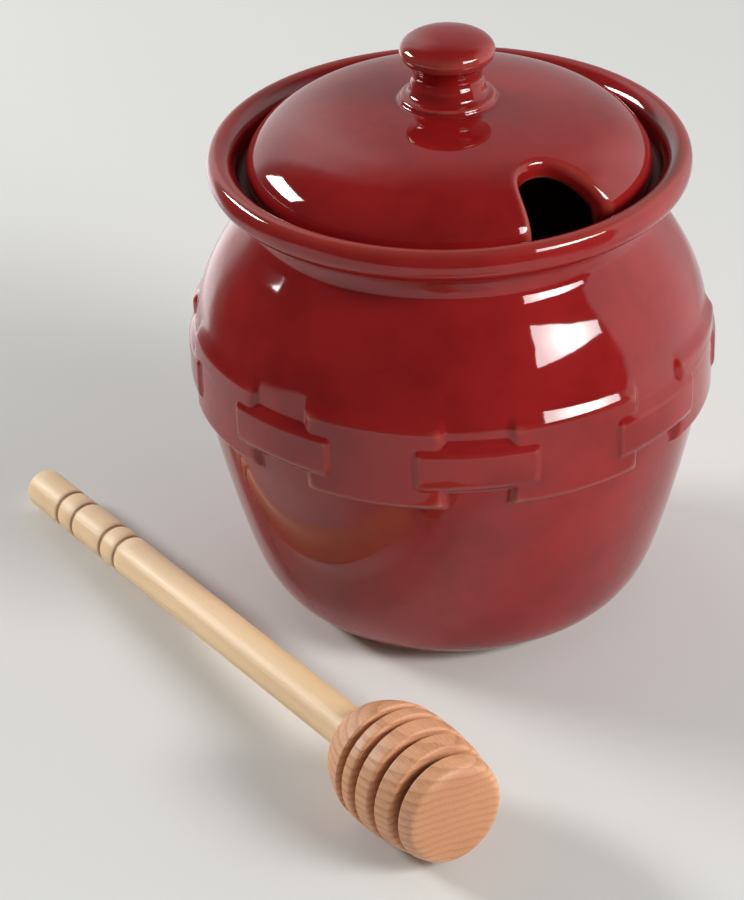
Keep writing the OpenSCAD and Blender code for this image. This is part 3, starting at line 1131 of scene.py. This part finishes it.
@dataclass
class Dipper:
    """The wooden dipper: a pale dowel glued into a turned head with cut grooves, lying on the table."""

    handle_r: float = 4.76
    length: float = 177.2
    head_back: float = 142.5
    head_r: float = 13.65
    thick_at: float = 157.5
    barrel_arc: float = 67.0
    groove_floor: float = 7.6
    tenon: float = 19.0
    lie: tuple[float, float] = (-99.8, 31.3)
    heading: float = -55.65
    rings: tuple[float, ...] = (15.3, 22.3, 35.9, 42.4)
    grooves: tuple[tuple[float, float], ...] = (
        (151.9, 153.7), (157.0, 158.9), (163.3, 165.3), (169.7, 172.2),
    )

    def placing(self) -> Matrix:
        """Place and turn of the stick in metres, with its axis along X."""
        pitch = math.asin((self.head_r - self.handle_r) / self.thick_at) + math.radians(0.05)
        turn = Matrix.Rotation(math.radians(self.heading), 4, "Z") @ Matrix.Rotation(-pitch, 4, "Y")
        return Matrix.Translation(Vector((*self.lie, self.handle_r)) * MM) @ turn

    def lay_down(self, made: bpy.types.Object) -> bpy.types.Object:
        """Lays a piece turned about +Z down where the dipper lies.

        Args:
            made: The piece.

        Returns:
            The same piece, with its place in its mesh.
        """
        made.data.transform(self.placing() @ Matrix.Rotation(math.radians(90), 4, "Y"))
        made.data.update()
        return made

    def barrel(self, t: float) -> float:
        """Radius of the head's barrel at a distance from the handle's end."""
        return self.head_r - self.barrel_arc + math.sqrt(self.barrel_arc**2 - (t - self.thick_at) ** 2)

    def handle_outline(self) -> np.ndarray:
        """The handle's outline, with shallow burned rings."""
        r, end_round, depth = self.handle_r, 1.6, 0.35
        line = [[0, 0], *arc((r - end_round, end_round), end_round, -90, 0, 12)]
        for t in self.rings:
            line += [[r, t - 0.75], [r - depth, t - 0.3], [r - depth, t + 0.3], [r, t + 0.75]]
        stop = self.head_back + self.tenon
        return np.array([*line, [r, stop - 0.6], [r - 0.6, stop], [0, stop]])

    def head_outline(self) -> np.ndarray:
        """The head's outline, with its grooves, rounded end and the bore for the handle."""
        back, bore = self.head_back, self.handle_r + 0.05
        line = [[0, back + self.tenon + 0.05], [bore, back + self.tenon + 0.05], [bore, back]]
        line += bezier(
            [[8.6, back], [10.4, back + 0.4], [11.6, back + 3.4], [12.75, back + 6.6]], 20
        ).tolist()
        for start, end in self.grooves:
            line += [
                [self.barrel(start) - 0.02, start - 0.35],
                [self.barrel(start) - 0.4, start + 0.02],
                [self.groove_floor, start + 0.3],
                [self.groove_floor, end - 0.3],
                [self.barrel(end) - 0.4, end - 0.02],
                [self.barrel(end) - 0.02, end + 0.35],
            ]
        line += bezier(
            [[self.barrel(174.4), 174.4], [self.barrel(175.6), 176], [9.9, 176.5], [8.6, 176.6]], 20
        ).tolist()
        line += bezier([[8.6, 176.6], [6, 176.9], [3, self.length], [0, self.length]], 20).tolist()
        return np.array(line)

    def build_handle(self, wood: bpy.types.Material) -> bpy.types.Object:
        """Makes the handle.

        Args:
            wood: Its material.

        Returns:
            The handle, riding on the dipper's body.
        """
        line = thinned(softened(self.handle_outline(), 0.14), 12.0, lambda _: 3.0)
        line[0, 0] = line[-1, 0] = 0.0
        made = turned("dipper_dowel", line, np.radians(np.arange(0, 360, 3.75)))
        along = points_of(made.data)[:, 2]
        near = np.min([np.abs(along - t) for t in self.rings], axis=0)
        put_value(made.data, "burned", np.clip((0.62 - near) / 0.3, 0, 1))
        put_value(made.data, "end_grain", np.clip((0.9 - along) / 0.6, 0, 1))
        self.finish(made, wood, Piece.HANDLE)
        return made

    def build_head(self, wood: bpy.types.Material) -> bpy.types.Object:
        """Makes the head.

        Args:
            wood: Its material.

        Returns:
            The head, riding on the dipper's body.
        """
        line = thinned(softened(self.head_outline(), 0.16), 10.0, lambda _: 1.2)
        line[0, 0] = line[-1, 0] = 0.0
        made = turned("dipper_turned_head", line, np.radians(np.arange(0, 360, 2.5)))
        place = points_of(made.data)
        radius, along = np.hypot(place[:, 0], place[:, 1]), place[:, 2]
        in_groove = np.any([(along > a - 0.2) & (along < b + 0.2) for a, b in self.grooves], axis=0)
        # painted shade: the grooves darken with depth below the barrel, a slight real burn plus the shade
        # that falls inside them
        deep = np.clip((np.array([self.barrel(t) for t in along]) - radius - 0.8) / 2.5, 0, 1)
        put_value(made.data, "burned", deep * in_groove)
        put_value(made.data, "end_grain", np.clip((along - 175.9) / 0.7, 0, 1))
        self.finish(made, wood, Piece.HEAD)
        return made

    def finish(self, made: bpy.types.Object, wood: bpy.types.Material, piece: Piece) -> None:
        """Lays a piece down, gives it its wood and ties it to the dipper's body.

        Args:
            made: The piece.
            wood: Its material.
            piece: The CAD node it stands for.
        """
        self.lay_down(made)
        made.data.materials.append(wood)
        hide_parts(piece.value)
        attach(made, Body.DIPPER.value)


# ---- the studio ---------------------------------------------------------------------------------


@dataclass(frozen=True)
class Softbox:
    """A flat lamp seen from the pot under four corner directions (azimuth, elevation) in degrees."""

    name: str
    corners: tuple[tuple[float, float], ...]
    distance: float
    strength: float
    colour: Colour = (1.0, 0.98, 0.96)


@dataclass
class Studio:
    """Camera, table, lamps and surroundings."""

    eye: tuple[float, float, float] = (0.0, -0.62819, 0.41268)
    right: tuple[float, float, float] = (0.9995304, 0.0130897, -0.0277045)
    up: tuple[float, float, float] = (0.0169167, 0.5181387, 0.8551293)
    ahead: tuple[float, float, float] = (-0.0255482, 0.8551964, -0.5176740)
    lens: float = 128.0
    table: Colour = (0.755, 0.765, 0.750)
    softboxes: tuple[Softbox, ...] = (
        Softbox("softbox_right", ((42.3, 39.0), (76.0, 25.0), (73.6, 19.5), (38.0, 19.5)), 1.3, 17.5),
        Softbox("softbox_left", ((-121.0, 26.0), (-97.0, 31.0), (-99.5, 22.0), (-125.6, 12.5)), 1.3, 24.0),
    )

    def camera(self) -> None:
        """Places the camera as it stood for the photograph."""
        data = bpy.data.cameras.new("camera")
        data.lens, data.sensor_width, data.sensor_fit = self.lens, 36.0, "AUTO"
        data.clip_start, data.clip_end = 0.02, 50.0
        made = bpy.data.objects.new("camera", data)
        columns = (Vector(self.right), Vector(self.up), -Vector(self.ahead))
        turn = Matrix(columns).transposed().to_4x4()
        made.matrix_world = Matrix.Translation(Vector(self.eye)) @ turn
        bpy.context.scene.collection.objects.link(made)
        bpy.context.scene.camera = made

    def floor(self) -> None:
        """The pale table top, which reflections see only as far as the table really went."""
        size = 6.0
        verts = np.array([[-size, -size, 0], [size, -size, 0], [size, size, 0], [-size, size, 0]])
        made = new_object("table_top", verts, [(0, 1, 2, 3)])
        material = bpy.data.materials.new("table_paper")
        material.use_nodes = True
        material.node_tree.nodes.clear()
        w = Wiring(material.node_tree)
        place = w.add("ShaderNodeTexCoord").outputs["Object"]
        split = w.add("ShaderNodeSeparateXYZ", {0: place})
        # painted light: the paper is painted up to 6% lighter towards the back, where more light fell on it
        back = w.remap(split.outputs["Y"], -0.15, 0.5)
        tint = w.blend(back, self.table, tuple(min(1.0, c * 1.06) for c in self.table))
        # the real table was small: reflections look past its edges into the room
        far = w.remap(split.outputs["Y"], -0.32, -0.36)
        corner = w.math("SUBTRACT", split.outputs["Y"], split.outputs["X"])
        far = w.math("MAXIMUM", far, w.remap(split.outputs["Y"], 0.20, 0.30))
        far = w.math("MAXIMUM", far, w.remap(corner, 0.24, 0.38))
        far = w.math("MAXIMUM", far, w.remap(split.outputs["X"], -0.56, -0.66))
        far = w.math("MAXIMUM", far, w.remap(split.outputs["X"], 0.12, 0.34))
        mirrored = w.add("ShaderNodeLightPath").outputs["Is Glossy Ray"]
        paper = w.add("ShaderNodeBsdfDiffuse", {"Color": tint})
        gone = w.add("ShaderNodeBsdfTransparent")
        shader = w.add("ShaderNodeMixShader", {0: w.math("MULTIPLY", far, mirrored), 1: paper.outputs[0],
                                               2: gone.outputs[0]})
        w.add("ShaderNodeOutputMaterial", {"Surface": shader.outputs[0]})
        made.data.materials.append(material)

    def lamp(self, box: Softbox) -> None:
        """Makes one softbox as a glowing panel.

        Args:
            box: Its corners, distance and strength.
        """
        aim = Vector((0.0, 0.0, 0.09))
        verts = []
        for azimuth, elevation in box.corners:
            a, e = math.radians(azimuth), math.radians(elevation)
            way = Vector((math.sin(a) * math.cos(e), -math.cos(a) * math.cos(e), math.sin(e)))
            verts.append(aim + way * box.distance)
        made = new_object(box.name, np.array([tuple(v) for v in verts]), [(0, 1, 2, 3)])
        material = bpy.data.materials.new(box.name)
        material.use_nodes = True
        material.node_tree.nodes.clear()
        w = Wiring(material.node_tree)
        middle = sum(verts, Vector()) / len(verts)
        place = w.add("ShaderNodeTexCoord").outputs["Object"]
        off = w.add(
            "ShaderNodeVectorMath", {0: place, 1: tuple(middle)}, operation="DISTANCE"
        ).outputs["Value"]
        hot = w.remap(off, 0.34, 0.02, box.strength * 0.78, box.strength * 1.7)
        glow = w.add("ShaderNodeEmission", {"Color": box.colour, "Strength": hot})
        w.add("ShaderNodeOutputMaterial", {"Surface": glow.outputs[0]})
        made.data.materials.append(material)

    def surroundings(self) -> None:
        """The room: a dark front, a white wall on the right, and a pale backdrop behind and to the left."""
        world = bpy.data.worlds.new("studio")
        bpy.context.scene.world = world
        world.use_nodes = True
        world.node_tree.nodes.clear()
        w = Wiring(world.node_tree)
        way = w.add("ShaderNodeTexCoord").outputs["Generated"]
        split = w.add("ShaderNodeSeparateXYZ", {0: way})
        x, y, z = (split.outputs[k] for k in ("X", "Y", "Z"))
        azimuth = w.math("MULTIPLY", w.math("ARCTAN2", x, w.math("MULTIPLY", y, -1.0)), math.degrees(1.0))
        rise = w.math("MULTIPLY", w.math("ARCSINE", z), math.degrees(1.0))
        right = w.math("MULTIPLY", w.remap(azimuth, 77.0, 81.0), w.remap(azimuth, 156.0, 112.0))
        right = w.math("MULTIPLY", right, w.remap(rise, 55.0, 30.0))
        left = w.math("MULTIPLY", w.remap(azimuth, -130.0, -140.0), w.remap(azimuth, -176.0, -156.0))
        left = w.math("MULTIPLY", left, w.math("MULTIPLY_ADD", w.remap(rise, -2.0, -14.0), 0.65, 0.65))
        left = w.math("MULTIPLY", left, w.remap(rise, 62.0, 40.0))
        back = w.math(
            "MULTIPLY",
            w.remap(w.math("ABSOLUTE", azimuth), 118.0, 140.0),
            w.remap(rise, 80.0, 48.0),
        )
        glow = w.math("MULTIPLY_ADD", right, 1.0, 0.08)
        glow = w.math("ADD", left, glow)
        glow = w.math("MULTIPLY_ADD", back, 0.42, glow)
        seen = w.add("ShaderNodeLightPath").outputs["Is Camera Ray"]
        strength = w.blend(seen, glow, (0.75, 0.75, 0.73))
        shader = w.add("ShaderNodeBackground", {"Color": strength, "Strength": 1.0})
        w.add("ShaderNodeOutputWorld", {"Surface": shader.outputs[0]})

    def build(self) -> None:
        """Sets up camera, table, lamps and room."""
        self.camera()
        self.floor()
        for box in self.softboxes:
            self.lamp(box)
        self.surroundings()
        bpy.context.scene.view_settings.view_transform = "Standard"


def main() -> None:
    """Builds the studio, the pot, the lid and the dipper."""
    logging.basicConfig(level=logging.INFO, format="%(name)s: %(message)s")
    Studio().build()
    glaze, wood = fired_glaze_group(), turned_wood_group()
    dipper = Dipper()
    pale = WoodFinish(
        name="pale_birch",
        pale=(0.98, 0.74, 0.46),
        dark=(0.80, 0.50, 0.24),
        burn=(0.30, 0.13, 0.05),
        ring_width=3.4,
        ring_depth=0.16,
        fibre_depth=0.20,
    )
    red = WoodFinish(
        name="red_fruitwood",
        pale=(0.82, 0.43, 0.24),
        dark=(0.47, 0.19, 0.085),
        # the head's groove tint is darkened to also paint the shade inside its grooves
        burn=(0.15, 0.036, 0.008),
        ring_width=1.7,
        ring_depth=0.38,
        fibre_depth=0.38,
    )
    made = [
        Pot().build(GlazeFinish("oxblood_glaze").build(glaze)),
        Lid().build(GlazeFinish("oxblood_glaze_lid").build(glaze)),
        dipper.build_handle(pale.build(wood, dipper.placing())),
        dipper.build_head(red.build(wood, dipper.placing())),
    ]
    for piece in made:
        low, high = points_of(piece.data).min(0), points_of(piece.data).max(0)
        LOG.info(
            "%s: %d faces, %s to %s mm",
            piece.name, len(piece.data.polygons), low.round(1), high.round(1),
        )


if __name__ == "__main__":
    main()
